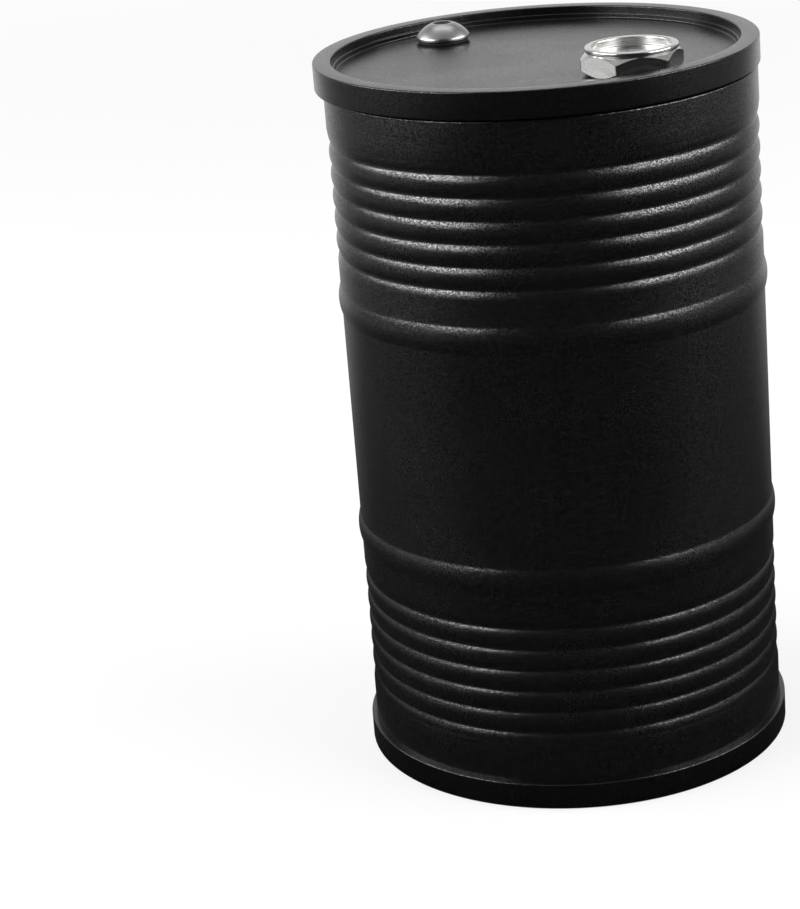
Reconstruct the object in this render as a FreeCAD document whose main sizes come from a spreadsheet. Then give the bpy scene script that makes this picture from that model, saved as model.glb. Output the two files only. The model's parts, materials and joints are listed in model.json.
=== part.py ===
import FreeCAD, Part
import math
import os

import Sketcher

# A hand-sized canister in the shape of a steel oil drum: a rolled wall between two
# chime rings, a lift-off lid, a hex bung and a button-head vent screw.
#
# Frame: millimetres, +Z up, origin at the middle of the base, on the surface it stands on.
# The bung and the vent lie across the lid from each other.

DIMENSIONS = (
    # the whole drum
    ("drum_height", 124.0, "surface to the top of the lid's chime"),
    ("wall_dia", 73.0, "plain wall, outside"),
    ("wall_sheet", 0.8, "thickness of the rolled wall"),
    ("band_step", 0.1, "how far the wall's end bands stand out, on radius"),
    # rolled ribs and hoops, the same in the upper and the lower half
    ("valley_depth_down", 13.6, "chime's top to the middle of the first valley"),
    ("valley_pitch", 3.81, "from valley to valley"),
    ("valley_radius", 0.8, "radius at the bottom of a valley"),
    ("rib_radius", 3.45, "radius of the crest between two valleys"),
    ("hoop_depth_down", 41.1, "chime's top to the middle of the hoop"),
    ("hoop_width", 5.1, "hoop, foot to foot"),
    ("hoop_radius", 6.0, "radius of the hoop's crown"),
    ("hoop_foot_radius", 1.0, "radius at the foot of the hoop"),
    # chime rings of the lid and of the base
    ("chime_dia", 75.1, "chime ring, outside"),
    ("chime_height", 4.5, "height of a chime ring"),
    ("chime_width", 3.1, "flat top of a chime ring"),
    ("chime_edge", 0.25, "rounding of a chime ring's edges"),
    ("groove_depth", 2.4, "how deep the wall sits in the base chime"),
    ("base_lip_dia", 66.0, "inside of the base chime's lip"),
    # pressed panels of the lid and of the base
    ("panel_depth", 2.2, "chime's edge to the panel"),
    ("panel_sheet", 0.55, "thickness of a panel"),
    ("ledge_depth", 1.25, "chime's edge to the panel's turned edge"),
    # mouth, seal and skirt
    ("gasket_thick", 0.4, "lid gasket, which is also the gap under the lid"),
    ("gasket_inner_dia", 66.6, "lid gasket, inside"),
    ("gasket_outer_dia", 72.0, "lid gasket, outside"),
    ("mouth_dia", 67.6, "bore of the mouth ring"),
    ("mouth_ring_height", 5.0, "height of the mouth ring"),
    ("skirt_dia", 65.8, "outside of the lid's skirt"),
    ("skirt_sheet", 1.0, "thickness of the skirt"),
    ("skirt_drop", 6.0, "how far the skirt reaches below the lid's chime"),
    ("skirt_chamfer", 0.4, "lead-in on the skirt and on the mouth"),
    ("lid_play", 0.5, "how far the lid rests off the drum's axis, towards -X"),
    # bung
    ("bung_azimuth", -48.0, "bung's direction from the lid's middle, from +X"),
    ("bung_offset", 23.3, "lid's middle to the bung's axis"),
    ("hex_flats", 15.0, "bung head, across flats"),
    ("hex_height", 3.6, "height of the bung head"),
    ("hex_face_dia", 14.8, "circle where the head's chamfer starts"),
    ("hex_chamfer_drop", 1.05, "how far the chamfer runs down a corner"),
    ("hex_turn", 10.0, "how far a corner of the head is turned from +X"),
    ("cup_pocket_depth", 1.0, "pocket in the top of the head for the spindle's cup"),
    ("seal_pocket_depth", 0.5, "pocket under the head for the bung's seal"),
    ("seal_pocket_dia", 13.4, "pocket under the head for the bung's seal"),
    ("seal_inner_dia", 10.6, "bung seal, inside"),
    ("seal_outer_dia", 12.8, "bung seal, outside"),
    ("lip_dia", 15.3, "lip of the spindle's cup"),
    ("lip_height", 0.85, "lip of the spindle's cup, above the head"),
    ("lip_edge", 0.32, "rounding of the lip"),
    ("cup_dia", 13.6, "cup of the spindle, outside"),
    ("recess_dia", 13.0, "recess in the cup"),
    ("recess_depth", 1.45, "lip's top to the recess's floor"),
    ("stem_dia", 10.0, "threaded stem of the bung"),
    ("stem_length", 6.0, "stem below the lid's panel"),
    ("thread_clearance", 0.05, "running clearance of the threads, on radius"),
    ("bung_flange_dia", 14.4, "flange under the lid that takes the bung"),
    ("bung_flange_thick", 1.2, "thickness of that flange"),
    ("bung_barrel_dia", 13.0, "barrel of that flange"),
    ("bung_barrel_length", 6.6, "barrel of that flange, from the panel down"),
    # vent
    ("vent_azimuth", 128.0, "vent's direction from the lid's middle, from +X"),
    ("vent_offset", 25.9, "lid's middle to the vent's axis"),
    ("screw_dia", 5.0, "shank of the vent screw"),
    ("screw_length", 8.0, "shank of the vent screw, below its head"),
    ("head_dia", 9.4, "button head"),
    ("head_height", 2.75, "button head"),
    ("head_rim", 0.55, "upright rim of the button head"),
    ("head_top_dia", 3.9, "flat on top of the button head"),
    ("dome_radius", 5.6, "dome of the button head"),
    ("head_edge", 0.2, "rounding under the button head"),
    ("socket_flats", 3.0, "hex socket, across flats"),
    ("socket_depth", 1.6, "hex socket"),
    ("vent_seal_dia", 8.6, "seal washer under the head"),
    ("vent_seal_thick", 0.5, "seal washer under the head"),
    ("vent_seal_bore", 5.6, "seal washer under the head, inside"),
    ("weld_nut_flats", 8.0, "nut under the lid that takes the vent screw"),
    ("weld_nut_height", 4.0, "height of that nut"),
    ("weld_nut_chamfer", 0.4, "chamfer of that nut"),
)

VALLEYS = 6
HEXAGON = 6
FULL_TURN = 360
BAND_SLOPE = 5      # the end band's step runs this many times its height up the wall
NEAR = 1e-4         # two lengths closer than this are the same

doc = FreeCAD.newDocument("drum")
sheet = doc.addObject("Spreadsheet::Sheet", "Dims")
for row, (alias, value, meaning) in enumerate(DIMENSIONS, start=1):
    sheet.set(f"A{row}", meaning)
    sheet.set(f"B{row}", str(value))
    sheet.setAlias(f"B{row}", alias)
doc.recompute()

sub_parts = []


def size(alias):
    """A driving dimension as a number, for finding edges."""
    return float(sheet.get(alias))


# Expressions that several sub-parts share. A name in an expression is a cell of the sheet.
MIDDLE = "(Dims.drum_height / 2)"
LID_UNDERSIDE = "(Dims.drum_height - Dims.chime_height)"
PANEL_UNDERSIDE = "(Dims.chime_height - Dims.panel_depth - Dims.panel_sheet)"
PANEL_TOP = "(Dims.drum_height - Dims.panel_depth)"
CHIME_BORE = "(Dims.chime_dia / 2 - Dims.chime_width)"
BAND_RADIUS = "(Dims.wall_dia / 2 + Dims.band_step)"
STEM_BORE = "(Dims.stem_dia / 2 + Dims.thread_clearance)"
SCREW_BORE = "(Dims.screw_dia / 2 + Dims.thread_clearance)"
BUNG_X = "(Dims.bung_offset * cos(Dims.bung_azimuth * 1 deg))"
BUNG_Y = "(Dims.bung_offset * sin(Dims.bung_azimuth * 1 deg))"
VENT_X = "(Dims.vent_offset * cos(Dims.vent_azimuth * 1 deg))"
VENT_Y = "(Dims.vent_offset * sin(Dims.vent_azimuth * 1 deg))"
HEX_CORNER = "(Dims.hex_flats / 2 / cos(30 deg))"


# --- drawing helpers ---------------------------------------------------------------------

def new_body(label, x="0", y="0", z="0", turn=None):
    """Start a sub-part whose place, and turn about +Z, are bound to the sheet."""
    body = doc.addObject("PartDesign::Body", label)
    body.Label = label
    for axis, expression in zip("xyz", (x, y, z)):
        body.setExpression(f"Placement.Base.{axis}", expression)
    if turn:
        body.Placement.Rotation = FreeCAD.Rotation(FreeCAD.Vector(0, 0, 1), 1)
        body.setExpression("Placement.Rotation.Angle", turn)
    sub_parts.append(body)
    return body


def new_sketch(body, name, plane):
    """Add an empty sketch on one of the body's own origin planes."""
    sketch = body.newObject("Sketcher::SketchObject", name)
    support = next(f for f in body.Origin.OriginFeatures if f.Role == plane)
    sketch.AttachmentSupport = (support, "")
    sketch.MapMode = "FlatFace"
    return sketch


def bound_point(sketch, across, up):
    """Add a construction point whose two distances from the origin follow the sheet."""
    start = FreeCAD.Vector(10, 10, 0)
    point = sketch.addGeometry(Part.Point(start), True)
    for kind, expression in (("DistanceX", across), ("DistanceY", up)):
        index = sketch.addConstraint(Sketcher.Constraint(kind, -1, 1, point, 1, start.x))
        sketch.setExpression(f"Constraints[{index}]", expression)
    return point


def add_edge(sketch, start, end, bend=None):
    """Add the edge from start to end and return it with its ends in that order.

    A bend is (alias of the radius, side): the edge is then an arc that bulges to the
    right of the way where side is 1, else to the left. Sketches keep arcs
    counter-clockwise, so an arc that bulges to the left is drawn from its end.
    """
    if bend is None:
        return sketch.addGeometry(Part.LineSegment(start, end)), (1, 2)
    alias, side = bend
    radius = size(alias)
    chord = end - start
    across = FreeCAD.Vector(chord.y, -chord.x, 0).normalize() * side
    drop = math.sqrt(radius ** 2 - (chord.Length / 2) ** 2)
    crown = (start + end) * 0.5 + across * (radius - drop)
    ends = (start, end) if side > 0 else (end, start)
    edge = sketch.addGeometry(Part.Arc(ends[0], crown, ends[1]))
    index = sketch.addConstraint(Sketcher.Constraint("Radius", edge, radius))
    sketch.setExpression(f"Constraints[{index}]", f"Dims.{alias}")
    return edge, (1, 2) if side > 0 else (2, 1)


def outline(sketch, corners):
    """Close an outline through corners, each (across, up) or (across, up, bend).

    across and up are expressions for the corner's place. A bend shapes the edge that
    leaves the corner, as add_edge says.
    """
    points = [bound_point(sketch, corner[0], corner[1]) for corner in corners]
    doc.recompute()
    places = [FreeCAD.Vector(sketch.Geometry[point].X, sketch.Geometry[point].Y, 0)
              for point in points]
    for number, corner in enumerate(corners):
        after = (number + 1) % len(corners)
        edge, ends = add_edge(sketch, places[number], places[after], *corner[2:])
        for end, point in zip(ends, (points[number], points[after])):
            sketch.addConstraint(Sketcher.Constraint("Coincident", edge, end, point, 1))
    doc.recompute()


def revolve(body, name, corners, kind="PartDesign::Revolution"):
    """Turn an outline in the body's XZ plane, (radius, height), about the body's axis."""
    sketch = new_sketch(body, f"{name}_section", "XZ_Plane")
    outline(sketch, corners)
    feature = body.newObject(kind, name)
    feature.Profile = sketch
    feature.ReferenceAxis = (sketch, ["V_Axis"])
    feature.Angle = FULL_TURN
    doc.recompute()
    return feature


def groove(body, name, corners):
    """Turn an outline about the body's axis and take it away."""
    before = body.Shape.Volume
    revolve(body, name, corners, "PartDesign::Groove")
    check_cut(body, name, before)


def check_cut(body, name, before):
    """Stop if a cut took nothing away, as one that points away from the solid does."""
    if not body.Shape.Volume < before:
        raise RuntimeError(f"{name} cuts nothing from {body.Label}")


def box_corners(inner, outer, bottom, top):
    """Corners of a plain ring's section."""
    return [(inner, bottom), (outer, bottom), (outer, top), (inner, top)]


def round_edges(body, name, radius, edges, kind="PartDesign::Fillet"):
    """Fillet or chamfer the body's circular edges found at (radius, height) values."""
    base = body.Tip
    names = []
    for number, edge in enumerate(base.Shape.Edges, start=1):
        if not isinstance(edge.Curve, Part.Circle):
            continue
        centre = edge.Curve.Center
        for wanted_radius, height in edges:
            if math.isclose(edge.Curve.Radius, wanted_radius, abs_tol=NEAR) \
                    and math.isclose(centre.z, height, abs_tol=NEAR):
                names.append(f"Edge{number}")
    if len(names) != len(edges):
        raise RuntimeError(f"{name} found {len(names)} of {len(edges)} edges")
    feature = body.newObject(kind, name)
    feature.Base = (base, names)
    feature.setExpression("Radius" if kind == "PartDesign::Fillet" else "Size", radius)
    doc.recompute()


def prism(body, name, flats, length, kind="PartDesign::AdditivePrism", lift="0"):
    """Add, or take away, a hexagonal prism that stands on the body's XY plane."""
    feature = body.newObject(kind, name)
    support = next(f for f in body.Origin.OriginFeatures if f.Role == "XY_Plane")
    feature.AttachmentSupport = (support, "")
    feature.MapMode = "FlatFace"
    feature.Polygon = HEXAGON
    feature.setExpression("Circumradius", f"{flats} / 2 / cos(30 deg)")
    feature.setExpression("Height", length)
    feature.setExpression("AttachmentOffset.Base.z", lift)
    doc.recompute()


def round_hole(body, name, x, y, radius):
    """Cut a round hole right through the body, with its middle at (x, y)."""
    sketch = new_sketch(body, f"{name}_circle", "XY_Plane")
    middle = bound_point(sketch, x, y)
    doc.recompute()
    place = FreeCAD.Vector(sketch.Geometry[middle].X, sketch.Geometry[middle].Y, 0)
    up = FreeCAD.Vector(0, 0, 1)
    circle = sketch.addGeometry(Part.Circle(place, up, size("screw_dia")))
    sketch.addConstraint(Sketcher.Constraint("Coincident", circle, 3, middle, 1))
    index = sketch.addConstraint(Sketcher.Constraint("Radius", circle, size("screw_dia")))
    sketch.setExpression(f"Constraints[{index}]", radius)
    before = body.Shape.Volume
    pocket = body.newObject("PartDesign::Pocket", name)
    pocket.Profile = sketch
    pocket.Type = "ThroughAll"
    pocket.Midplane = True
    doc.recompute()
    check_cut(body, name, before)


# --- the drum's body ---------------------------------------------------------------------

def wall_side(inset):
    """Corners of one side of the wall's upper half, from the middle up to the mouth.

    Heights are from the drum's mid-height. inset is taken off every radius, so that the
    inside of the rolled sheet follows its outside.
    """
    plain = f"(Dims.wall_dia / 2 - {inset})"
    hoop_half = "(Dims.hoop_width / 2)"
    hoop_sum = "(Dims.hoop_radius + Dims.hoop_foot_radius)"
    hoop_rise = f"({hoop_sum} - sqrt({hoop_sum}^2 - {hoop_half}^2))"
    hoop_mid = f"({MIDDLE} - Dims.hoop_depth_down)"
    foot_up = f"(Dims.hoop_foot_radius * {hoop_half} / {hoop_sum})"
    foot_out = f"{plain} + Dims.hoop_foot_radius * {hoop_rise} / {hoop_sum}"

    half_pitch = "(Dims.valley_pitch / 2)"
    rib_sum = "(Dims.rib_radius + Dims.valley_radius)"
    valley_deep = f"({rib_sum} - sqrt({rib_sum}^2 - {half_pitch}^2))"
    valley_up = f"(Dims.valley_radius * {half_pitch} / {rib_sum})"
    valley_in = f"{plain} - {valley_deep} + Dims.valley_radius * {valley_deep} / {rib_sum}"

    corners = [
        (plain, "0"),
        (plain, f"{hoop_mid} - {hoop_half}", ("hoop_foot_radius", -1)),
        (foot_out, f"{hoop_mid} - {hoop_half} + {foot_up}", ("hoop_radius", 1)),
        (foot_out, f"{hoop_mid} + {hoop_half} - {foot_up}", ("hoop_foot_radius", -1)),
        (plain, f"{hoop_mid} + {hoop_half}"),
    ]
    for valley in reversed(range(VALLEYS)):
        middle = f"({MIDDLE} - Dims.valley_depth_down - {valley} * Dims.valley_pitch)"
        if valley == VALLEYS - 1:
            corners.append((plain, f"{middle} - {half_pitch}", ("rib_radius", 1)))
        corners.append((valley_in, f"{middle} - {valley_up}", ("valley_radius", -1)))
        corners.append((valley_in, f"{middle} + {valley_up}", ("rib_radius", 1)))
    shoulder = f"{MIDDLE} - Dims.valley_depth_down + {half_pitch}"
    mouth = f"{MIDDLE} - Dims.chime_height - Dims.gasket_thick"
    band = f"{BAND_RADIUS} - {inset}"
    corners.append((plain, shoulder))
    corners.append((band, f"{shoulder} + Dims.band_step * {BAND_SLOPE}"))
    corners.append((band, mouth))
    return corners


def reverse_side(corners):
    """The same corners the other way, each bend moved to the corner it now leaves."""
    turned = []
    for number in reversed(range(len(corners))):
        place = corners[number][:2]
        before = corners[number - 1] if number else ()
        if len(before) == 3:
            alias, side = before[2]
            place += ((alias, -side),)
        turned.append(place)
    return turned


def build_body_wall():
    """Rolled wall: two hoops, two sets of ribs, and a foot that sits in the base chime."""
    body = new_body("body_wall", z=MIDDLE)
    section = wall_side("0") + reverse_side(wall_side("Dims.wall_sheet"))
    upper = revolve(body, "upper_half", section)
    mirror = body.newObject("PartDesign::Mirrored", "lower_half")
    mirror.Originals = [upper]
    plane = next(f for f in body.Origin.OriginFeatures if f.Role == "XY_Plane")
    mirror.MirrorPlane = (plane, [""])
    body.Tip = mirror
    doc.recompute()
    mouth = f"{MIDDLE} - Dims.chime_height - Dims.gasket_thick"
    foot_end = f"Dims.chime_height - Dims.groove_depth - {MIDDLE}"
    revolve(body, "foot", box_corners(f"{BAND_RADIUS} - Dims.wall_sheet", BAND_RADIUS,
                                      foot_end, f"-({mouth})"))


def build_base_chime():
    """Ring that the drum stands on, with a groove for the wall and a lip over the plate."""
    body = new_body("base_chime")
    outer = "Dims.chime_dia / 2"
    groove_floor = "Dims.chime_height - Dims.groove_depth"
    seat = "Dims.panel_depth + Dims.panel_sheet"
    lip = "Dims.base_lip_dia / 2"
    revolve(body, "ring", [
        (CHIME_BORE, "0"), (outer, "0"),
        (outer, "Dims.chime_height"), (BAND_RADIUS, "Dims.chime_height"),
        (BAND_RADIUS, groove_floor), (f"{BAND_RADIUS} - Dims.wall_sheet", groove_floor),
        (f"{BAND_RADIUS} - Dims.wall_sheet", "Dims.chime_height"), (lip, "Dims.chime_height"),
        (lip, seat), (CHIME_BORE, seat),
    ])
    radius, height = size("chime_dia") / 2, size("chime_height")
    bore = radius - size("chime_width")
    round_edges(body, "rounding", "Dims.chime_edge", [(radius, 0), (radius, height), (bore, 0)])


def build_base_plate():
    """Pressed plate in the base chime, its edge turned down."""
    body = new_body("base_plate")
    inner = f"{CHIME_BORE} - Dims.panel_sheet"
    revolve(body, "plate", [
        ("0", "Dims.panel_depth"), (inner, "Dims.panel_depth"), (inner, "Dims.ledge_depth"),
        (CHIME_BORE, "Dims.ledge_depth"), (CHIME_BORE, "Dims.panel_depth + Dims.panel_sheet"),
        ("0", "Dims.panel_depth + Dims.panel_sheet"),
    ])


def build_mouth_ring():
    """Ring inside the top of the wall, flush with it, that the lid's gasket seats on."""
    body = new_body("mouth_ring", z=f"{LID_UNDERSIDE} - Dims.gasket_thick")
    revolve(body, "ring", box_corners("Dims.mouth_dia / 2", f"{BAND_RADIUS} - Dims.wall_sheet",
                                      "-Dims.mouth_ring_height", "0"))
    round_edges(body, "lead_in", "Dims.skirt_chamfer", [(size("mouth_dia") / 2, 0)],
                "PartDesign::Chamfer")


# --- the lid -----------------------------------------------------------------------------
# The lid's sub-parts share one local frame: its axis, and the underside of its chime.

def new_lid_body(label):
    """Start a sub-part of the lid in the lid's local frame."""
    return new_body(label, x="-Dims.lid_play", z=LID_UNDERSIDE)


def build_lid_rim():
    """Chime ring of the lid, with a lip under the edge of the panel."""
    body = new_lid_body("lid_rim")
    outer, lip = "Dims.chime_dia / 2", "Dims.skirt_dia / 2"
    revolve(body, "ring", [
        (lip, "0"), (outer, "0"), (outer, "Dims.chime_height"),
        (CHIME_BORE, "Dims.chime_height"), (CHIME_BORE, PANEL_UNDERSIDE),
        (lip, PANEL_UNDERSIDE),
    ])
    radius, height = size("chime_dia") / 2, size("chime_height")
    bore = radius - size("chime_width")
    round_edges(body, "rounding", "Dims.chime_edge",
                [(radius, 0), (radius, height), (bore, height)])


def build_lid_panel():
    """Pressed panel of the lid, its edge turned up inside the rim, with two holes."""
    body = new_lid_body("lid_panel")
    inner = f"{CHIME_BORE} - Dims.panel_sheet"
    top = f"{PANEL_UNDERSIDE} + Dims.panel_sheet"
    edge = "Dims.chime_height - Dims.ledge_depth"
    revolve(body, "panel", [
        ("0", PANEL_UNDERSIDE), (CHIME_BORE, PANEL_UNDERSIDE), (CHIME_BORE, edge),
        (inner, edge), (inner, top), ("0", top),
    ])
    round_hole(body, "bung_hole", BUNG_X, BUNG_Y, f"{STEM_BORE} + Dims.thread_clearance")
    round_hole(body, "vent_hole", VENT_X, VENT_Y, f"{SCREW_BORE} + Dims.thread_clearance")


def build_lid_skirt():
    """Skirt under the lid that keeps it over the mouth."""
    body = new_lid_body("lid_skirt")
    outer = "Dims.skirt_dia / 2"
    revolve(body, "ring", box_corners(f"{outer} - Dims.skirt_sheet", outer,
                                      "-Dims.skirt_drop", PANEL_UNDERSIDE))
    round_edges(body, "lead_in", "Dims.skirt_chamfer",
                [(size("skirt_dia") / 2, -size("skirt_drop"))], "PartDesign::Chamfer")


def build_lid_gasket():
    """Flat rubber ring glued under the lid's chime."""
    body = new_lid_body("lid_gasket")
    revolve(body, "ring", box_corners("Dims.gasket_inner_dia / 2", "Dims.gasket_outer_dia / 2",
                                      "-Dims.gasket_thick", "0"))


# --- the bung ----------------------------------------------------------------------------
# Local frame: the bung's axis, and the top of the lid's panel.

def new_bung_body(label, turn=None):
    """Start a sub-part of the bung in the bung's local frame."""
    return new_body(label, f"{BUNG_X} - Dims.lid_play", BUNG_Y, PANEL_TOP, turn)


def build_bung_flange():
    """Threaded flange welded under the panel. Its thread is a plain bore."""
    body = new_bung_body("bung_flange")
    flange, barrel = "Dims.bung_flange_dia / 2", "Dims.bung_barrel_dia / 2"
    top = "-Dims.panel_sheet"
    step = f"{top} - Dims.bung_flange_thick"
    bottom = f"{top} - Dims.bung_barrel_length"
    revolve(body, "flange", [
        (STEM_BORE, bottom), (barrel, bottom), (barrel, step), (flange, step), (flange, top),
        (STEM_BORE, top),
    ])


def hex_chamfer(height, drop):
    """Section that trims the corners of a hexagon from height to height + drop."""
    face = "Dims.hex_face_dia / 2"
    past = f"{HEX_CORNER} + 1"
    slope = f"({past} - {face}) / ({HEX_CORNER} - {face})"
    return [(face, height), (past, f"{height} + {drop} * {slope}"), (past, height)]


def build_bung_hex_head():
    """Hexagonal head of the bung, chamfered above and below, pressed on the spindle."""
    body = new_bung_body("bung_hex_head", "Dims.hex_turn * 1 deg")
    prism(body, "hexagon", "Dims.hex_flats", "Dims.hex_height")
    groove(body, "top_chamfer", hex_chamfer("Dims.hex_height", "-Dims.hex_chamfer_drop"))
    groove(body, "bottom_chamfer", hex_chamfer("0", "Dims.hex_chamfer_drop"))
    stem, cup, seal = "Dims.stem_dia / 2", "Dims.cup_dia / 2", "Dims.seal_pocket_dia / 2"
    pocket = "Dims.hex_height - Dims.cup_pocket_depth"
    groove(body, "bore", [
        ("0", "0"), (seal, "0"), (seal, "Dims.seal_pocket_depth"),
        (stem, "Dims.seal_pocket_depth"), (stem, pocket), (cup, pocket),
        (cup, "Dims.hex_height"), ("0", "Dims.hex_height"),
    ])


def build_bung_spindle():
    """Turned spindle: a shallow lipped cup over the head and a threaded stem below it."""
    body = new_bung_body("bung_spindle")
    stem, cup, lip = "Dims.stem_dia / 2", "Dims.cup_dia / 2", "Dims.lip_dia / 2"
    recess = "Dims.recess_dia / 2"
    top = "Dims.hex_height + Dims.lip_height"
    floor = f"{top} - Dims.recess_depth"
    pocket = "Dims.hex_height - Dims.cup_pocket_depth"
    end = "-Dims.panel_sheet - Dims.stem_length"
    revolve(body, "turned", [
        ("0", end), (stem, end), (stem, pocket), (cup, pocket), (cup, "Dims.hex_height"),
        (lip, "Dims.hex_height"), (lip, top), (recess, top), (recess, floor), ("0", floor),
    ])
    upper = size("hex_height") + size("lip_height")
    radius, bore = size("lip_dia") / 2, size("recess_dia") / 2
    round_edges(body, "lip_rounding", "Dims.lip_edge",
                [(radius, upper), (radius, size("hex_height")), (bore, upper)])


def build_bung_seal():
    """Rubber ring under the bung's head. It rises with the bung and doesn't turn."""
    body = new_bung_body("bung_seal")
    revolve(body, "ring", box_corners("Dims.seal_inner_dia / 2", "Dims.seal_outer_dia / 2",
                                      "0", "Dims.seal_pocket_depth"))


# --- the vent ----------------------------------------------------------------------------
# Local frame: the vent's axis, and the top of the lid's panel.

def new_vent_body(label):
    """Start a sub-part of the vent in the vent's local frame."""
    return new_body(label, f"{VENT_X} - Dims.lid_play", VENT_Y, PANEL_TOP)


def build_vent_seal():
    """Seal washer under the button head. It rises with the screw and doesn't turn."""
    body = new_vent_body("vent_seal")
    revolve(body, "ring", box_corners("Dims.vent_seal_bore / 2", "Dims.vent_seal_dia / 2",
                                      "0", "Dims.vent_seal_thick"))


def build_vent_screw():
    """Button-head screw with a hex socket. Its thread is a plain shank."""
    body = new_vent_body("vent_screw")
    shank, head, flat = "Dims.screw_dia / 2", "Dims.head_dia / 2", "Dims.head_top_dia / 2"
    under = "Dims.vent_seal_thick"
    top = f"{under} + Dims.head_height"
    end = f"{under} - Dims.screw_length"
    revolve(body, "turned", [
        ("0", end), (shank, end), (shank, under), (head, under),
        (head, f"{under} + Dims.head_rim", ("dome_radius", 1)), (flat, top), ("0", top),
    ])
    round_edges(body, "head_rounding", "Dims.head_edge",
                [(size("head_dia") / 2, size("vent_seal_thick"))])
    before = body.Shape.Volume
    prism(body, "socket", "Dims.socket_flats", "Dims.socket_depth",
          "PartDesign::SubtractivePrism", f"{top} - Dims.socket_depth")
    check_cut(body, "socket", before)


def build_vent_weld_nut():
    """Hexagonal nut welded under the panel. Its thread is a plain bore."""
    body = new_vent_body("vent_weld_nut")
    bottom = "-Dims.panel_sheet - Dims.weld_nut_height"
    prism(body, "hexagon", "Dims.weld_nut_flats", "Dims.weld_nut_height", lift=bottom)
    groove(body, "bore", box_corners("0", SCREW_BORE, bottom, "-Dims.panel_sheet"))
    radius = size("screw_dia") / 2 + size("thread_clearance")
    low = -size("panel_sheet") - size("weld_nut_height")
    round_edges(body, "lead_in", "Dims.weld_nut_chamfer", [(radius, low)],
                "PartDesign::Chamfer")


# --- build, check and write --------------------------------------------------------------

build_body_wall()
build_base_chime()
build_base_plate()
build_mouth_ring()
build_lid_rim()
build_lid_panel()
build_lid_skirt()
build_lid_gasket()
build_bung_flange()
build_bung_hex_head()
build_bung_spindle()
build_bung_seal()
build_vent_seal()
build_vent_screw()
build_vent_weld_nut()
doc.recompute()

for item in doc.Objects:
    if {"Invalid", "Error"} & set(item.State):
        raise RuntimeError(f"{item.Label} failed: {item.State}")
for body in sub_parts:
    if body.Shape.isNull() or not body.Shape.isValid() or len(body.Shape.Solids) != 1:
        raise RuntimeError(f"{body.Label} isn't one valid solid")

os.makedirs("parts", exist_ok=True)
for body in sub_parts:
    body.Shape.exportStep(f"parts/{body.Label}.step")
    low, high = body.Shape.BoundBox.ZMin, body.Shape.BoundBox.ZMax
    print(f"{body.Label}: {body.Shape.Volume:.1f} mm3, z {low:.2f} to {high:.2f}")
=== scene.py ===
# %% [markdown]
# # A hand-sized oil drum, made piece by piece
# The object is a small steel canister in the shape of an oil drum: a rolled wall between two
# chime rings, a lift-off lid, a hex bung and a button-head vent screw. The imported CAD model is
# loaded first. It fixes every size and every moving body, so the pieces made here only have to
# look right in the places that it gives.

import json
import math

import bmesh
import bpy
import numpy as np
from mathutils import Matrix, Vector


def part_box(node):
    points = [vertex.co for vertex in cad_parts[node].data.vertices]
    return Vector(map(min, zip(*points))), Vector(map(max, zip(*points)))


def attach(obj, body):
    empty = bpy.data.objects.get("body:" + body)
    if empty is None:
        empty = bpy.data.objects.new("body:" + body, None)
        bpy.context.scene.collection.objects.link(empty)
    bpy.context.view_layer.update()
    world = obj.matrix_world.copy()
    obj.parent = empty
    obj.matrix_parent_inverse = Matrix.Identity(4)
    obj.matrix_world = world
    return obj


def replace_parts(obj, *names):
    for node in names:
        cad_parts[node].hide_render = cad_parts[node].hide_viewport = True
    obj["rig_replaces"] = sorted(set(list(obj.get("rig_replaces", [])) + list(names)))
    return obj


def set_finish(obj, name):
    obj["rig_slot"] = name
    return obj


MM = 0.001
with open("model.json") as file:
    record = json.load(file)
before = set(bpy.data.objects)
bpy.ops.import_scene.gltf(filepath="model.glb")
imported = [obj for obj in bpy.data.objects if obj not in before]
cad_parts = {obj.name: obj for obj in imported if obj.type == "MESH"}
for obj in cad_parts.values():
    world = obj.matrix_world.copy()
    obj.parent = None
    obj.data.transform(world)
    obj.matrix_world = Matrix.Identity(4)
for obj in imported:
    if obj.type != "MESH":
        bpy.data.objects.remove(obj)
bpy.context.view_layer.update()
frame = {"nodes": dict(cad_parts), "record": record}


def span(node):
    """A CAD node's lowest and highest corner, in millimetres, as two arrays."""
    low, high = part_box(node)
    return np.array(low) / MM, np.array(high) / MM


def middle(node):
    """The x and y of a CAD node's middle, in millimetres."""
    low, high = span(node)
    return (low + high)[:2] / 2


# %% [markdown]
# ## The camera
# A camera could be placed by typing in its position and rotation, but those numbers say little.
# Here it is placed in a maker's words: how far from the drum, how high above it, and how it is
# tipped. It aims at the middle of the lid first. It is then rolled a little, panned and tilted,
# so that the drum leans and sits off the middle of the frame.

# %% Camera
DISTANCE, HEIGHT_ANGLE = 456.8, 10.747      # from the middle of the lid's top: mm, degrees
ROLL, PAN, TILT = -3.985, -2.898, -8.699    # degrees
LENS = 106.3                                # mm, on a sensor 36 mm along its long side

target = np.array([0, 0, span("lid_rim")[1][2]])
height_angle = math.radians(HEIGHT_ANGLE)
place = target + DISTANCE * np.array([0, -math.cos(height_angle), math.sin(height_angle)])


def turned_pair(a, b, degrees):
    """Two axes at right angles, turned together from a towards b."""
    c, s = math.cos(math.radians(degrees)), math.sin(math.radians(degrees))
    return a * c + b * s, b * c - a * s


forward = (target - place) / DISTANCE
right = np.array([1.0, 0, 0])
up = np.cross(right, forward)
right, up = turned_pair(right, up, ROLL)
forward, right = turned_pair(forward, right, PAN)
forward, up = turned_pair(forward, up, TILT)

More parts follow.
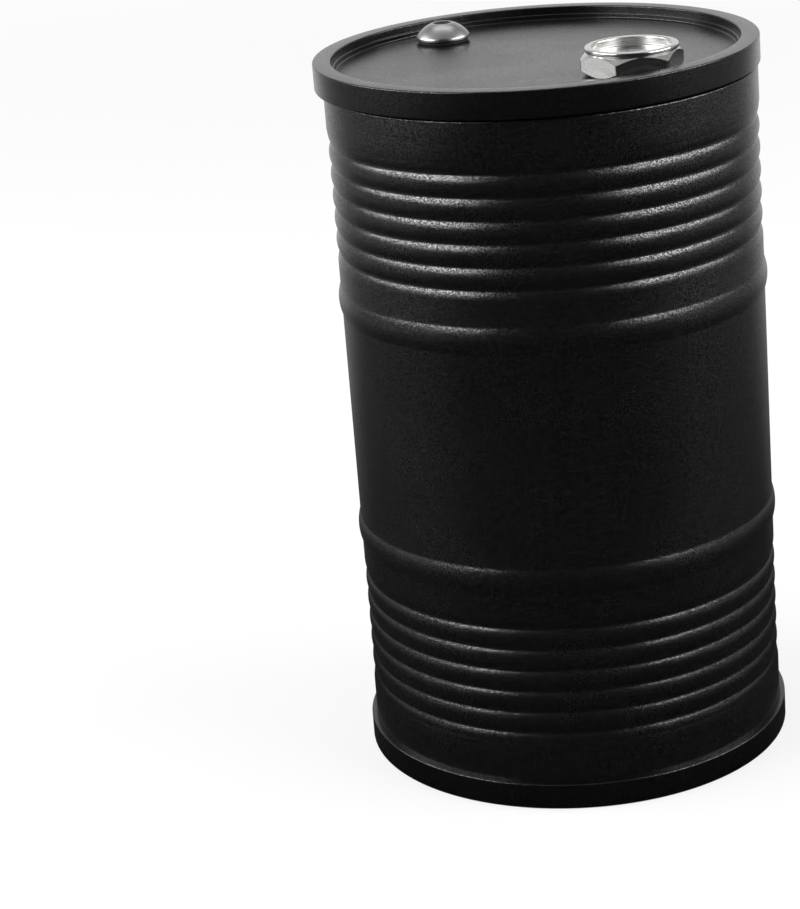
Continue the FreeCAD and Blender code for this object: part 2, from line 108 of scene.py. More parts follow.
camera = bpy.data.objects.new("camera", bpy.data.cameras.new("camera"))
camera.data.lens = LENS
camera.data.sensor_width = 36
camera.data.clip_start, camera.data.clip_end = 0.01, 50
camera.matrix_world = Matrix([[*row, p * MM] for row, p in
                              zip(np.stack([right, up, -forward], axis=1), place)]
                             + [[0, 0, 0, 1]])
bpy.context.scene.collection.objects.link(camera)
bpy.context.scene.camera = camera
bpy.context.scene.view_settings.view_transform = "Standard"
print("camera at, mm:", place.round(1))

# %% [markdown]
# ## Turned surfaces
# Nearly every piece here is turned on a lathe or pressed on one: its section is a line in
# radius and height, carried round an axis. A circle of 192 steps is so near to round that its
# outline shows no corners. The radius may also change with the angle, which is all that a
# hexagon or a thread needs. So one function makes them all, from two parameters: how far round,
# and how far along the section.

# %% Surface tools
ROUND = 192                     # steps in a full circle
WELD, SLIVER = 2e-7, 1e-8       # metres: points this close are one, edges this short are none
print("a 73 mm circle strays from round by, mm:",
      round(36.5 * (1 - math.cos(math.pi / ROUND)), 4))


def finish_mesh(name, points, faces, uv, sharp):
    """A mesh object from points in mm: doubles merged, faces outwards, smooth but for edges
    sharper than sharp degrees."""
    mesh = bpy.data.meshes.new(name)
    mesh.from_pydata((points * MM).tolist(), [], faces.tolist())
    layer = mesh.uv_layers.new(name="Surface")
    layer.data.foreach_set("uv", uv.astype(np.float32).ravel())
    work = bmesh.new()
    work.from_mesh(mesh)
    bmesh.ops.remove_doubles(work, verts=work.verts, dist=WELD)
    bmesh.ops.dissolve_degenerate(work, edges=work.edges, dist=SLIVER)
    bmesh.ops.recalc_face_normals(work, faces=work.faces)
    open_edges = sum(not e.is_manifold for e in work.edges)
    work.to_mesh(mesh)
    work.free()
    mesh.polygons.foreach_set("use_smooth", np.ones(len(mesh.polygons), bool))
    mesh.set_sharp_from_angle(angle=math.radians(sharp))
    made = bpy.data.objects.new(name, mesh)
    bpy.context.scene.collection.objects.link(made)
    triangles = sum(len(p.vertices) - 2 for p in mesh.polygons)
    print(f"{name}: {triangles} triangles, {open_edges} open edges")
    return made


def turned(name, radius, height, centre=(0, 0), angle=None, ring=True, sharp=32):
    """Surface of a section carried round an upright axis, in millimetres.

    Point (a, s) is centre + radius(a, s) in the direction of angle a, at height(a, s). radius
    and height are arrays over s, or over a and s. A ring's section is a closed loop. Otherwise
    it starts and ends on the axis, and closes at its two poles.
    """
    if angle is None:
        angle = np.arange(ROUND) * 2 * np.pi / ROUND
    around, along = len(angle), np.shape(radius)[-1]
    r = np.broadcast_to(radius, (around, along))
    z = np.broadcast_to(height, (around, along))
    a = angle[:, None]
    points = np.stack([centre[0] + r * np.cos(a), centre[1] + r * np.sin(a), z], axis=-1)
    i, j = np.meshgrid(np.arange(around), np.arange(along if ring else along - 1), indexing="ij")
    steps = np.stack([[i, j], [i + 1, j], [i + 1, j + 1], [i, j + 1]])
    faces = (steps[:, 0] % around) * along + steps[:, 1] % along
    uv = np.stack([steps[:, 0] / around, steps[:, 1] / along], axis=-1)
    return finish_mesh(name, points.reshape(-1, 3), np.moveaxis(faces, 0, -1).reshape(-1, 4),
                       np.moveaxis(uv, 0, -2).reshape(-1, 2), sharp)


def softened(corners, loop=True, steps=6):
    """A section's corners, each rounded by its own radius: rows of (radius, height, rounding).

    Each rounding is an arc that leaves one side and meets the next square on. The arc's points
    are the corner plus a step back along the bisector, so that they lie on its circle.
    """
    section = []
    count = len(corners)
    for k, (r, z, rounding) in enumerate(corners):
        here = np.array([r, z])
        if rounding == 0 or (not loop and k in (0, count - 1)):
            section.append(here[None])
            continue
        back = np.array(corners[k - 1][:2]) - here
        on = np.array(corners[(k + 1) % count][:2]) - here
        back, on = back / np.linalg.norm(back), on / np.linalg.norm(on)
        half = math.acos(np.clip(back @ on, -1, 1)) / 2
        bisector = (back + on) / np.linalg.norm(back + on)
        middle_point = here + bisector * rounding / math.sin(half)
        start = here + back * rounding / math.tan(half) - middle_point
        end = here + on * rounding / math.tan(half) - middle_point
        turn = np.linspace(0, 1, steps + 1)[:, None]
        sweep = np.pi - 2 * half
        arc = (np.sin((1 - turn) * sweep) * start + np.sin(turn * sweep) * end) / math.sin(sweep)
        section.append(middle_point + arc)
    section = np.concatenate(section)
    return section[:, 0], section[:, 1]


# %% [markdown]
# ## The rolled wall
# On the real drum the wall is a sheet rolled into a tube. Rollers then press six grooves near
# each end, and one standing hoop below them. The crests between the grooves are broad arcs and
# the grooves are tight ones. Here the outside radius is worked out from the height alone, from
# the same arcs that a roller would leave. The inside follows it one sheet further in.

# %% Rolled wall
PLAIN_RADIUS, SHEET = 36.5, 0.8
GROOVES, FIRST_GROOVE, PITCH = 6, 13.6, 3.81
GROOVE_ARC, CREST_ARC = 0.8, 3.45
HOOP_AT, HOOP_HALF, HOOP_ARC, HOOP_FOOT = 41.1, 2.55, 6.0, 1.0
BAND, BAND_RUN = 0.1, 0.5

rim_top = span("lid_rim")[1][2]
wall_low, wall_high = span("body_wall")[0][2], span("body_wall")[1][2]


def grooved(u):
    """Depth of one groove at a distance u from its middle: a circle of GROOVE_ARC that runs
    into the crest's circle of CREST_ARC where the two touch."""
    half, reach = PITCH / 2, GROOVE_ARC + CREST_ARC
    deep = reach - math.sqrt(reach**2 - half**2)
    join = GROOVE_ARC * half / reach
    u = np.clip(np.abs(u), 0, half)
    valley = deep - GROOVE_ARC + np.sqrt(np.clip(GROOVE_ARC**2 - u**2, 0, None))
    crest = CREST_ARC - np.sqrt(CREST_ARC**2 - (half - u) ** 2)
    return np.where(u < join, valley, crest)


def hooped(u):
    """Rise of the hoop at a distance u from its middle: a crown's circle between two feet."""
    reach = HOOP_ARC + HOOP_FOOT
    rise = reach - math.sqrt(reach**2 - HOOP_HALF**2)
    join = HOOP_HALF - HOOP_FOOT * HOOP_HALF / reach
    u = np.clip(np.abs(u), 0, HOOP_HALF)
    crown = rise - HOOP_ARC + np.sqrt(HOOP_ARC**2 - u**2)
    foot = HOOP_FOOT - np.sqrt(np.clip(HOOP_FOOT**2 - (HOOP_HALF - u) ** 2, 0, None))
    return np.where(u < join, crown, foot)


def wall_radius(z):
    """Outside radius of the wall at height z. Both halves are the same about mid-height."""
    down = rim_top / 2 - np.abs(z - rim_top / 2)
    groove = np.clip(np.round((down - FIRST_GROOVE) / PITCH), 0, GROOVES - 1)
    shoulder = FIRST_GROOVE - PITCH / 2
    band = BAND * np.clip((shoulder - down) / BAND_RUN, 0, 1)
    return (PLAIN_RADIUS + band + hooped(down - HOOP_AT)
            - grooved(down - FIRST_GROOVE - groove * PITCH))


grooves_at = FIRST_GROOVE + PITCH * np.arange(GROOVES)
in_groove = PITCH / 2 * np.array([-1, -.85, -.7, -.55, -.4, -.3, -.22, -.16, -.1, -.04])
fine = (grooves_at[:, None] + np.concatenate([in_groove, -in_groove])).ravel()
hoop_heights = HOOP_AT + HOOP_HALF * np.linspace(-1, 1, 27)
shoulder_heights = FIRST_GROOVE - PITCH / 2 - BAND_RUN * np.linspace(0, 1, 4)
downs = np.concatenate([fine, hoop_heights, shoulder_heights, [9, 7.5]])
outside_z = np.unique(np.concatenate([downs, rim_top - downs, [wall_low + .1, rim_top / 2]]))
MOUTH_EDGE = 0.3
outside_z = np.concatenate([outside_z, [wall_high - MOUTH_EDGE]])
inside_z = outside_z[::-2]
edge = 0.15
outer_r, inner_r = wall_radius(outside_z), wall_radius(inside_z) - SHEET
foot = PLAIN_RADIUS + BAND
bend = np.linspace(0, np.pi / 2, 7)[1:]
section_r = np.concatenate([[foot - SHEET + edge, foot - edge], outer_r,
                            foot - MOUTH_EDGE * (1 - np.cos(bend)),
                            [foot - SHEET + edge, foot - SHEET + .04], inner_r])
section_z = np.concatenate([[wall_low] * 2, outside_z,
                            wall_high - MOUTH_EDGE * (1 - np.sin(bend)),
                            [wall_high, wall_high - .04], inside_z])
wall = turned("rolled_wall", section_r, section_z)
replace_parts(wall, "body_wall")

# %% [markdown]
# ## Base: standing ring, bottom panel and seat ring
# The drum stands on a heavy ring with a groove for the wall. The bottom is a thin pressed panel
# whose edge turns down inside that ring. At the mouth, a second ring inside the wall carries
# the lid's seal. A small rounding on each edge matters as much as the shape: it is what shows
# as a thin bright line.

# %% Base pieces
ring_out = span("base_chime")[1][0]
ring_top = span("base_chime")[1][2]
CHIME_WIDTH, CHIME_EDGE, LIP_RADIUS, GROOVE_FLOOR = 3.1, 0.25, 33.0, 2.1
ring_in = ring_out - CHIME_WIDTH
panel_low, panel_high = span("base_plate")
sheet_top, sheet_edge = panel_high[2], panel_low[2]
PANEL_SHEET = 0.55

base_ring = turned("standing_ring", *softened([
    (ring_in, 0, CHIME_EDGE), (ring_out, 0, CHIME_EDGE), (ring_out, ring_top, CHIME_EDGE),
    (foot, ring_top, 0.05), (foot, GROOVE_FLOOR, 0.05), (foot - SHEET, GROOVE_FLOOR, 0.05),
    (foot - SHEET, ring_top, 0.1), (LIP_RADIUS, ring_top, 0.15), (LIP_RADIUS, sheet_top, 0.05),
    (ring_in, sheet_top, 0.05)]))
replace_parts(base_ring, "base_chime")

bottom_panel = turned("bottom_panel", *softened([
    (0, sheet_top - PANEL_SHEET, 0), (ring_in - PANEL_SHEET, sheet_top - PANEL_SHEET, 0.3),
    (ring_in - PANEL_SHEET, sheet_edge, 0.12), (ring_in, sheet_edge, 0.12),
    (ring_in, sheet_top, 0.4), (0, sheet_top, 0)], loop=False), ring=False)
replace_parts(bottom_panel, "base_plate")

seat_low, seat_high = span("mouth_ring")
MOUTH_RADIUS, LEAD_IN = 33.8, 0.4
seat_ring = turned("seat_ring", *softened([
    (MOUTH_RADIUS + LEAD_IN, seat_low[2], 0.1), (foot - SHEET, seat_low[2], 0.1),
    (foot - SHEET, seat_high[2], 0.1), (MOUTH_RADIUS, seat_high[2], 0.15),
    (MOUTH_RADIUS, seat_low[2] + LEAD_IN, 0.1)]))
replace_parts(seat_ring, "mouth_ring")

# %% [markdown]
# ## Lid: ring, collar and seal
# The lid's ring is the same as the one the drum stands on, the other way up. A collar below it
# keeps the lid over the mouth, and a flat rubber seal leaves a fine dark gap all round. The lid
# sits a hair to one side, as loose lids do, so its axis is read from its own CAD node.

# %% Lid ring, collar and seal
lid_axis = middle("lid_rim")
lid_low = span("lid_rim")[0][2]
lid_panel_low, lid_panel_high = span("lid_panel")
under, ledge = lid_panel_low[2], lid_panel_high[2]
deck = under + PANEL_SHEET
COLLAR_RADIUS, COLLAR_SHEET = 32.9, 1.0

lid_ring = turned("lid_ring", *softened([
    (COLLAR_RADIUS, lid_low, 0.1), (ring_out, lid_low, CHIME_EDGE),
    (ring_out, rim_top, CHIME_EDGE), (ring_in, rim_top, CHIME_EDGE),
    (ring_in, under, 0.05), (COLLAR_RADIUS, under, 0.05)]), centre=lid_axis)
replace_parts(lid_ring, "lid_rim")

collar_low = span("lid_skirt")[0][2]
collar = turned("lid_collar", *softened([
    (COLLAR_RADIUS - COLLAR_SHEET, collar_low, 0.15), (COLLAR_RADIUS - LEAD_IN, collar_low, 0.12),
    (COLLAR_RADIUS, collar_low + LEAD_IN, 0.12), (COLLAR_RADIUS, under, 0.02),
    (COLLAR_RADIUS - COLLAR_SHEET, under, 0.02)]), centre=lid_axis)
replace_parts(collar, "lid_skirt")

SEAL_INNER, SEAL_OUTER = 33.3, 36.0
seal_low, seal_high = span("lid_gasket")
lid_seal = turned("lid_seal", *softened([
    (SEAL_INNER, seal_low[2], 0.12), (SEAL_OUTER, seal_low[2], 0.12),
    (SEAL_OUTER, seal_high[2], 0.04), (SEAL_INNER, seal_high[2], 0.04)]), centre=lid_axis)
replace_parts(lid_seal, "lid_gasket")

# %% [markdown]
# ## Lid panel
# The panel is one pressed sheet with a turned-up edge and two holes. A disc with two holes
# isn't a plain lathe shape. It splits into two halves along the line midway between the holes,
# and each half is then a ring of its own: from its hole out to its border. Both halves use the
# same points on the line that they share, so they weld into one sheet without a seam.

# %% Lid panel
BUNG_HOLE, VENT_HOLE = 5.1, 2.6
bung_axis, vent_axis = middle("bung_spindle"), middle("vent_screw")
across = bung_axis - vent_axis
split = math.atan2(across[1], across[0]) + np.pi / 2
flat_radius = ring_in - PANEL_SHEET - 0.3


def half_border(start, steps=48):
    """Border of a half disc: half a circle from the angle start, then the straight way back."""
    arc = start + np.pi * np.arange(ROUND // 2 + 1) / (ROUND // 2)
    chord = np.linspace(-1, 1, steps + 1)[1:-1]
    circle = flat_radius * np.stack([np.cos(arc), np.sin(arc)], axis=-1)
    straight = -flat_radius * np.stack([np.cos(start) * -chord, np.sin(start) * -chord], axis=-1)
    return np.concatenate([circle, straight]) + lid_axis


def half_sheet(border, hole, radius, height, rings=10):
    """Half a sheet: point (b, s) goes from the hole's edge at s = 0 to the border at s = 1,
    along the ray from the hole's middle through border point b."""
    ray = border - hole
    inner = hole + radius * ray / np.linalg.norm(ray, axis=-1, keepdims=True)
    s = (np.linspace(0, 1, rings + 1) ** 1.3)[None, :, None]
    flat = inner[:, None] * (1 - s) + border[:, None] * s
    return np.concatenate([flat, np.full(flat.shape[:2] + (1,), height)], axis=-1)


def grid_faces(across_count, along_count, offset, closed=True):
    """Quads of a grid stored row by row, closed round its first direction."""
    i, j = np.meshgrid(np.arange(across_count), np.arange(along_count - 1), indexing="ij")
    n = (i + 1) % across_count
    quads = np.stack([i * along_count + j, n * along_count + j,
                      n * along_count + j + 1, i * along_count + j + 1], axis=-1)
    return quads.reshape(-1, 4) + offset


sheets, quads, used = [], [], 0
for start, hole, radius in ((split - np.pi, bung_axis, BUNG_HOLE), (split, vent_axis, VENT_HOLE)):
    border = half_border(start)
    upper = half_sheet(border, hole, radius, deck)
    lower = half_sheet(border, hole, radius, under)
    section = np.concatenate([upper[:, ::-1], lower], axis=1)
    quads.append(grid_faces(len(border), section.shape[1], used))
    sheets.append(section.reshape(-1, 3))
    used += len(sheets[-1])
edge_r, edge_z = softened([
    (flat_radius, deck, 0), (ring_in - PANEL_SHEET, deck, 0.28),
    (ring_in - PANEL_SHEET, ledge, 0.2), (ring_in, ledge, 0.02), (ring_in, under, 0.3),
    (flat_radius, under, 0)], loop=False)
turn = split + np.arange(ROUND) * 2 * np.pi / ROUND
rim_points = np.stack([lid_axis[0] + edge_r * np.cos(turn)[:, None],
                       lid_axis[1] + edge_r * np.sin(turn)[:, None],
                       np.broadcast_to(edge_z, (ROUND, len(edge_z)))], axis=-1)
quads.append(grid_faces(ROUND, len(edge_r), used))
sheets.append(rim_points.reshape(-1, 3))
points, quads = np.concatenate(sheets), np.concatenate(quads)
lid_top = finish_mesh("lid_top", points, quads, points[quads.ravel()][:, :2] / 100, 32)
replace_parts(lid_top, "lid_panel")

# %% [markdown]
# ## Hexagons
# A hexagon is a circle whose radius changes with the angle: on each flat it is half the width
# across flats divided by the cosine of the angle from the flat's middle. A nut's corners are cut
# by a cone, and where a cone meets six flats it leaves the curved edges that every nut has. In
# this form they come out by themselves, because the cone's height only depends on the radius.

# %% Hexagon tools
def hexagon(flats, turn=0, per_flat=32, blunt=0.12):
    """Angles and radii of a hexagon, with more points near its corners, which are blunted by
    a circle a little inside them."""
    t = np.sin(np.linspace(-1, 1, per_flat, endpoint=False) * np.pi / 2) * np.pi / 6
    turns = np.arange(6) * np.pi / 3 + turn + np.pi / 6
    angle = (turns[:, None] + t).ravel()
    radius = np.tile(flats / 2 / np.cos(t), 6)
    corner = flats / 2 / math.cos(np.pi / 6) - blunt
    soft = 0.04
    return angle, -soft * np.log(np.exp(-radius / soft) + np.exp(-corner / soft))


print("a 15 mm hexagon reaches out to, mm:", hexagon(15.0)[1].max().round(3))


def stacked(*columns):
    """Section columns side by side: each a number or one value per angle."""
    count = max(np.size(c) for c in columns)
    return np.stack([np.broadcast_to(c, count) for c in columns], axis=-1)


# %% [markdown]
# ## Bung
# The bung is two turned parts. The nut-like head is milled from bar and its corners are cut by
# a cone above and below. A bright spindle goes through it: a shallow cup with a rolled lip on
# top, and a threaded stem below. The stem's thread is a real one. Its groove climbs by one
# pitch in each turn, so the bung rises by the right amount as it unscrews.

# %% Bung head
HEX_FLATS, HEX_TURN = 15.0, math.radians(10)
FACE_RADIUS, CHAMFER_DROP = 7.4, 1.05
STEM, CUP, POCKET = 5.0, 6.8, 1.0
SEAL_POCKET, SEAL_DEEP = 6.7, 0.5
head_low, head_high = span("bung_hex_head")
hex_floor, hex_top = head_low[2], head_high[2]

angle, flat_r = hexagon(HEX_FLATS, HEX_TURN)
cone = (flat_r - FACE_RADIUS) * CHAMFER_DROP / (HEX_FLATS / 2 / math.cos(np.pi / 6) - FACE_RADIUS)
soft = 0.06
radii = stacked(STEM, SEAL_POCKET, SEAL_POCKET, FACE_RADIUS - soft, FACE_RADIUS + soft / 2,
                flat_r - soft, flat_r, flat_r, flat_r - soft, FACE_RADIUS + soft / 2,
                FACE_RADIUS - soft, CUP, CUP, STEM)
heights = stacked(hex_floor + SEAL_DEEP, hex_floor + SEAL_DEEP, hex_floor, hex_floor,
                  hex_floor + soft / 4, hex_floor + cone, hex_floor + cone + soft,
                  hex_top - cone - soft, hex_top - cone, hex_top - soft / 4,
                  hex_top, hex_top, hex_top - POCKET, hex_top - POCKET)
bung_head = turned("bung_hex", radii, heights, bung_axis, angle, sharp=20)
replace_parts(bung_head, "bung_hex_head")

# %% [markdown]
# ## Bung spindle
# A thread could be made with a Screw modifier, but its two ends are then hard to close. Here it
# is one more turned surface, whose radius depends on the height and on the angle. A single
# surface goes from the end of the stem, up round the lip, and down into the recess.

# %% Bung spindle
LIP, RECESS, RECESS_DEEP, LIP_EDGE = 7.65, 6.5, 1.45, 0.32
BUNG_PITCH, BUNG_THREAD, TIP = 1.25, 0.62, 0.7


def threaded(angle, z, major, pitch, depth, low, high):
    """Radius of a right-hand thread: the height counted in pitches, less the angle counted in
    turns, says where in the tooth a point is. The groove fades out at both ends."""
    phase = z / pitch - angle / (2 * np.pi)
    tooth = np.abs((phase % 1) - 0.5) * 2
    groove = np.clip((tooth - 0.14) / 0.74, 0, 1)
    fade = np.clip((z - low) / pitch, 0, 1) * np.clip((high - z) / (pitch * 0.7), 0, 1)
    return major - depth * groove * fade


spindle_low, spindle_high = span("bung_spindle")
stem_end, lip_top = spindle_low[2], spindle_high[2]
cup_floor = lip_top - RECESS_DEEP
angle = np.arange(ROUND) * 2 * np.pi / ROUND
stem_z = np.linspace(stem_end, hex_floor - 0.1, 120)
stem_r = threaded(angle[:, None], stem_z, STEM, BUNG_PITCH, BUNG_THREAD,
                  stem_end - BUNG_PITCH, hex_floor - 0.3)
stem_r = np.minimum(stem_r, STEM - TIP + stem_z - stem_end)
top_r, top_z = softened([
    (STEM, hex_top - POCKET, 0), (CUP, hex_top - POCKET, 0.05), (CUP, hex_top, 0),
    (LIP, hex_top, LIP_EDGE), (LIP, lip_top, LIP_EDGE), (RECESS, lip_top, LIP_EDGE),
    (RECESS, cup_floor, 0.18), (0.6, cup_floor, 0.1), (0, cup_floor + 0.02, 0)],
    loop=False, steps=8)
radii = np.concatenate([np.zeros((ROUND, 1)), stem_r,
                        np.broadcast_to(top_r, (ROUND, len(top_r)))], axis=1)
heights = np.concatenate([[stem_end], stem_z, top_z])
bung_cup = turned("bung_cup", radii, heights, bung_axis, ring=False, sharp=40)
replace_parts(bung_cup, "bung_spindle")

# %% [markdown]
# ## Bung washer and socket
# A rubber ring seals the head, and a flanged socket is fixed under the panel. Its thread could
# be cut out of it with a Boolean. Here it is worked out by the same function as the stem's, a
# hair further out, so the two mesh, and go on meshing as the bung climbs.

# %% Bung washer and socket
washer_low, washer_high = span("bung_seal")
bung_washer = turned("bung_washer", *softened([
    (5.3, washer_low[2], 0.08), (6.4, washer_low[2], 0.12), (6.4, washer_high[2], 0.12),
    (5.3, washer_high[2], 0.08)]), centre=bung_axis)
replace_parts(bung_washer, "bung_seal")

BARREL, FLANGE, FLANGE_THICK, BORE = 6.5, 7.2, 1.2, 5.05
ROOM = 0.08                     # between two threads that mesh
socket_low, socket_high = span("bung_flange")
bore_z = np.linspace(socket_high[2] - 0.15, socket_low[2] + 0.35, 120)
bore_r = threaded(angle[:, None], bore_z, STEM + ROOM, BUNG_PITCH, BUNG_THREAD,
                  socket_low[2] + 0.1, socket_high[2] - 0.1)
out_r, out_z = softened([
    (BORE + 0.3, socket_low[2], 0), (BARREL, socket_low[2], 0.3),
    (BARREL, socket_high[2] - FLANGE_THICK, 0.25), (FLANGE, socket_high[2] - FLANGE_THICK, 0.2),
    (FLANGE, socket_high[2], 0.02), (BORE, socket_high[2], 0)], loop=False)
bung_socket = turned("bung_socket",
                     np.concatenate([np.broadcast_to(out_r, (ROUND, len(out_r))), bore_r], axis=1),
                     np.concatenate([out_z, bore_z]), bung_axis, sharp=40)
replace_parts(bung_socket, "bung_flange")

# %% [markdown]
# ## Vent screw
# A button-head screw is a dome on an upright rim, with a flat on top for the hex socket. The
# section runs from the bottom of the socket up its six walls, over the dome, under the head and
# down the thread to the tip. The socket's walls are the hexagon from before, only smaller.

# %% Vent screw
HEAD, RIM, DOME, TOP_FLAT = 4.7, 0.55, 5.6, 1.95
SOCKET_FLATS, SOCKET_DEEP = 3.0, 1.6
SCREW, SCREW_PITCH, SCREW_THREAD, SCREW_END = 2.5, 0.8, 0.42, 0.5
screw_low, screw_high = span("vent_screw")
washer_top = span("vent_seal")[1][2]
screw_tip, dome_top = screw_low[2], screw_high[2]

angle, socket_r = hexagon(SOCKET_FLATS, blunt=0.02)
chord = np.array([HEAD - TOP_FLAT, washer_top + RIM - dome_top])
reach = math.sqrt(DOME**2 - (chord @ chord) / 4)
normal = np.array([-chord[1], chord[0]]) / np.linalg.norm(chord)
dome_middle = np.array([(HEAD + TOP_FLAT) / 2, (washer_top + RIM + dome_top) / 2]) - normal * reach
first = math.atan2(dome_top - dome_middle[1], TOP_FLAT - dome_middle[0])
last = math.atan2(washer_top + RIM - dome_middle[1], HEAD - dome_middle[0])
sweep = np.linspace(first, last, 17)
dome_r, dome_z = dome_middle[0] + DOME * np.cos(sweep), dome_middle[1] + DOME * np.sin(sweep)

under_r, under_z = softened([
    (HEAD, washer_top + RIM, 0), (HEAD, washer_top, 0.2), (SCREW + 0.1, washer_top, 0)],
    loop=False)
shank_z = np.linspace(washer_top - 0.1, screw_tip, 170)
shank_r = threaded(angle[:, None], shank_z, SCREW, SCREW_PITCH, SCREW_THREAD,
                   screw_tip - SCREW_PITCH, washer_top - 0.4)
shank_r = np.minimum(shank_r, SCREW - SCREW_END + shank_z - screw_tip)
lathe_r = np.concatenate([[TOP_FLAT - 0.06], dome_r, under_r[1:]])
lathe_z = np.concatenate([[dome_top - 0.004], dome_z, under_z[1:]])
count = len(angle)
radii = np.concatenate([
    stacked(0, socket_r * 0.99, socket_r, socket_r, socket_r + 0.06),
    np.broadcast_to(lathe_r, (count, len(lathe_r))), shank_r, np.zeros((count, 1))], axis=1)
heights = np.concatenate([
    [dome_top - SOCKET_DEEP - 0.3, dome_top - SOCKET_DEEP, dome_top - SOCKET_DEEP + 0.04,
     dome_top - 0.06, dome_top], lathe_z, shank_z, [screw_tip]])
vent_button = turned("vent_button", radii, heights, vent_axis, angle, ring=False, sharp=40)
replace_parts(vent_button, "vent_screw")

# %% [markdown]
# ## Vent washer and nut
# The vent screw has its own small sealing ring, and goes into a plain nut under the panel. The
# nut is the hexagon once more, with a cone over its lower corners and a threaded bore.

# %% Vent washer and nut
vent_washer_low, vent_washer_high = span("vent_seal")
vent_washer = turned("vent_washer", *softened([
    (2.8, vent_washer_low[2], 0.06), (4.3, vent_washer_low[2], 0.1),
    (4.3, vent_washer_high[2], 0.12), (2.8, vent_washer_high[2], 0.06)]), centre=vent_axis)
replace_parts(vent_washer, "vent_seal")

NUT_FLATS, NUT_BORE = 8.0, 2.55
nut_low, nut_high = span("vent_weld_nut")
angle, nut_r = hexagon(NUT_FLATS)
nut_cone = np.clip(nut_r - NUT_FLATS / 2, 0, None) * 0.55
bore_z = np.linspace(nut_high[2], nut_low[2] + 0.4, 80)
nut_bore = threaded(angle[:, None], bore_z, SCREW + ROOM, SCREW_PITCH, SCREW_THREAD,
                    nut_low[2] + 0.2, nut_high[2])
radii = np.concatenate([stacked(NUT_BORE + 0.4, NUT_FLATS / 2 - 0.1, nut_r, nut_r), nut_bore],
                       axis=1)
heights = np.concatenate([
    stacked(nut_low[2], nut_low[2], nut_low[2] + nut_cone + 0.03, nut_high[2]),
    np.broadcast_to(bore_z, (len(angle), len(bore_z)))], axis=1)
vent_nut = turned("vent_nut", radii, heights, vent_axis, angle, sharp=25)
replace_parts(vent_nut, "vent_weld_nut")

# %% [markdown]
# ## What rides on what
# Each new piece moves with the CAD body whose node it stands for, and takes that node's slot.

# %% Ride and slot
behaviour = frame["record"]["behaviour"]
body_of_node = {n: body for body, nodes in behaviour["bodies"].items() for n in nodes}
slot_of_node = {s["node"]: s["material_slot"] for s in frame["record"]["subparts"]}
pieces = [wall, base_ring, bottom_panel, seat_ring, lid_ring, collar, lid_seal, lid_top,
          bung_head, bung_cup, bung_washer, bung_socket, vent_button, vent_washer, vent_nut]
for piece in pieces:
    node = piece["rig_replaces"][0]
    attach(piece, body_of_node[node])
    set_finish(piece, slot_of_node[node])

# %% [markdown]
# ## Shader groups
# Several finishes share the same effects, so each effect is a node group, built once. A group
# only puts out masks and heights, and the material decides what they do. Nodes could be wired
# one by one, but a few short helpers keep that readable.

# %% Node tools
def add(tree, kind, inputs=(), **settings):
    """A node with its settings. Its inputs are numbers or colours, or sockets to link from."""
    node = tree.nodes.new("ShaderNode" + kind)
    for key, value in settings.items():
        setattr(node, key, value)
    for key, value in dict(inputs).items():
        if isinstance(value, bpy.types.NodeSocket):
            tree.links.new(value, node.inputs[key])
        else:
            node.inputs[key].default_value = value
    return node


def new_group(name, inputs, outputs):
    """A shader node group with named sockets. Returns its tree, its inputs and its output node."""
    tree = bpy.data.node_groups.new(name, "ShaderNodeTree")
    kinds = {float: "NodeSocketFloat", tuple: "NodeSocketVector"}
    for label, value in inputs.items():
        socket = tree.interface.new_socket(label, in_out="INPUT", socket_type=kinds[type(value)])
        socket.default_value = value
    for label in outputs:
        tree.interface.new_socket(label, in_out="OUTPUT", socket_type="NodeSocketFloat")
    print(f"group {name}: takes {', '.join(inputs)}, gives {', '.join(outputs)}")
    return tree, tree.nodes.new("NodeGroupInput").outputs, tree.nodes.new("NodeGroupOutput")


def calc(tree, operation, *values, **settings):
    """The result of one sum on numbers or sockets."""
    return add(tree, "Math", enumerate(values), operation=operation, **settings).outputs[0]


def fitted(tree, value, low, high, to_low=0.0, to_high=1.0, smooth=True):
    """A value carried from one range to another, and kept inside it."""
    return add(tree, "MapRange",
               {"Value": value, "From Min": low, "From Max": high, "To Min": to_low,
                "To Max": to_high},
               interpolation_type="SMOOTHSTEP" if smooth else "LINEAR").outputs[0]


print("node helpers:", [helper.__name__ for helper in (add, new_group, calc, fitted)])

# %% [markdown]
# ## Powder grain
# A baked powder coat isn't smooth. It has a relief finer than a millimetre, glossy grains, and
# soft patches where it flowed better. A noise texture does each of the three. Its scale is one
# over the grain's size, so that a finish can ask for its grain in millimetres.

# %% Powder grain
tree, given, out = new_group("powder_grain", {"Vector": (0.0, 0.0, 0.0), "Grain": 0.35},
                             ["Height", "Speckle", "Cloud"])
per_metre = calc(tree, "DIVIDE", 1.0 / MM, given["Grain"])
peel = add(tree, "TexNoise", {"Vector": given["Vector"], "Scale": per_metre, "Detail": 3.0,
                              "Roughness": 0.6})
fleck = add(tree, "TexNoise", {"Vector": given["Vector"],
                               "Scale": calc(tree, "MULTIPLY", per_metre, 1.3), "Detail": 1.0})
cloud = add(tree, "TexNoise", {"Vector": given["Vector"], "Scale": 60.0, "Detail": 3.0})
tree.links.new(peel.outputs["Fac"], out.inputs["Height"])
tree.links.new(fitted(tree, fleck.outputs["Fac"], 0.36, 0.66), out.inputs["Speckle"])
tree.links.new(fitted(tree, cloud.outputs["Fac"], 0.35, 0.65), out.inputs["Cloud"])
powder_grain = tree

# %% [markdown]
# ## Lathe marks
# A lathe's tool leaves fine rings round the axis. How far out and how far up a point lies is
# counted in feeds of the tool, and that count looks up a noise in one dimension. So a ring is
# the same all the way round, and no two rings are alike.

